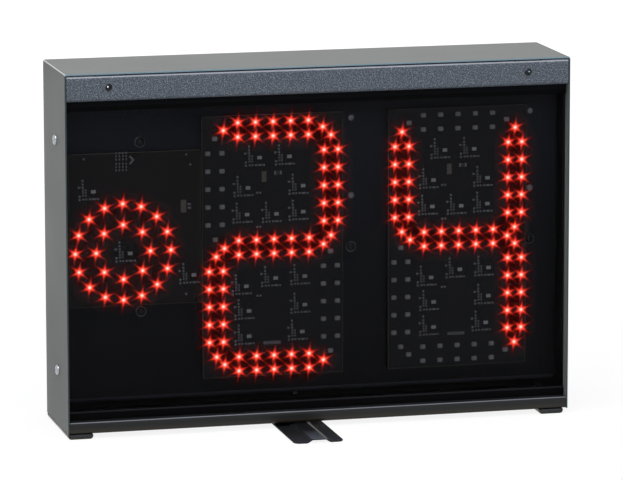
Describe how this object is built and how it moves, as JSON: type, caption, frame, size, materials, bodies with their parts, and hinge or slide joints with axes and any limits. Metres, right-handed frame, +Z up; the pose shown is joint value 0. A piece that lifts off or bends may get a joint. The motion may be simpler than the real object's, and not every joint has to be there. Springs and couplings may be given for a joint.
{
  "type": "shot clock",
  "caption": "Shot clock display: folded steel case with a smoked window, LED digit boards and a ring of LEDs, a swivel foot, and a rear power inlet with rocker switch.",
  "frame": {"origin": "on the ground under the middle of the case, where the bounding box's bottom centre is", "axes": "+X to the viewer's right along the case's width, +Y from the window to the rear cover, +Z up"},
  "size_m": [0.4852, 0.243, 0.3395],
  "materials": {
    "case_paint": "textured grey paint",
    "rail_paint": "hammered grey paint",
    "tray_paint": "semi-gloss dark paint",
    "foot_paint": "hammered dark paint",
    "panel_paint": "satin black paint",
    "smoked_sheet": "smoked clear sheet, polished",
    "black_plastic": "moulded, satin",
    "board_lacquer": "black solder mask",
    "zinc_steel": "zinc plated",
    "dark_metal": "blackened",
    "bright_screw": "bright plated",
    "lead_sheath": "soft sheath",
    "ribbon_grey": "flat ribbon"
  },
  "bodies": {
    "case": {"case_shell": "case_paint", "bottom_tray": "tray_paint", "top_front_rail": "rail_paint", "rear_cover": "case_paint", "window_top_channel": "black_plastic", "window_bottom_channel": "black_plastic", "smoked_window": "smoked_sheet", "left_foot_channel": "case_paint", "right_foot_channel": "case_paint", "power_inlet": "black_plastic", "data_socket_in": "dark_metal", "data_socket_out": "dark_metal", "display_panel": "panel_paint", "left_panel_bracket": "zinc_steel", "right_panel_bracket": "zinc_steel", "ring_board": "board_lacquer", "tens_board": "board_lacquer", "units_board": "board_lacquer", "control_board": "board_lacquer", "power_supply_chassis": "zinc_steel", "power_supply_board": "board_lacquer", "power_supply_cover": "zinc_steel", "horn_strap": "zinc_steel", "horn": "black_plastic", "mains_lead": "lead_sheath", "supply_lead": "lead_sheath", "data_lead": "lead_sheath", "data_link_lead": "lead_sheath", "horn_lead": "lead_sheath", "tens_ribbon": "ribbon_grey", "ring_ribbon": "ribbon_grey", "control_board_post_1": "bright_screw", "control_board_post_2": "bright_screw", "control_board_post_3": "bright_screw", "control_board_post_4": "bright_screw", "power_supply_screw_1": "dark_metal", "power_supply_screw_2": "dark_metal", "horn_screw_1": "dark_metal", "horn_screw_2": "dark_metal", "left_rail_screw": "dark_metal", "right_rail_screw": "dark_metal", "left_side_screw_lower": "bright_screw", "left_side_screw_upper": "bright_screw", "right_side_screw_lower": "bright_screw", "right_side_screw_upper": "bright_screw", "swivel_foot_rivet": "bright_screw", "rear_cover_screw_1": "bright_screw", "rear_cover_screw_2": "bright_screw", "rear_cover_screw_3": "bright_screw", "rear_cover_screw_4": "bright_screw", "rear_cover_screw_5": "bright_screw", "rear_cover_screw_6": "bright_screw", "foot_screw_1": "bright_screw", "foot_screw_2": "bright_screw", "foot_screw_3": "bright_screw", "foot_screw_4": "bright_screw"},
    "foot": {"swivel_foot": "foot_paint"},
    "rocker": {"power_rocker": "black_plastic"},
    "drawer": {"fuse_drawer": "black_plastic"}
  },
  "joints": [
    {"name": "foot_swivel", "type": "hinge", "parent": "case", "child": "foot", "pos_m": [-0.019, 0, 0.002], "axis": [0, 0, 1], "range_deg": [0, 90]},
    {"name": "rocker_tilt", "type": "hinge", "parent": "case", "child": "rocker", "pos_m": [0.15, 0.0535, 0.0805], "axis": [1, 0, 0], "range_deg": [-16, 0]},
    {"name": "fuse_drawer_slide", "type": "slide", "parent": "case", "child": "drawer", "axis": [0, 1, 0], "range_m": [0, 0.012]}
  ]
}
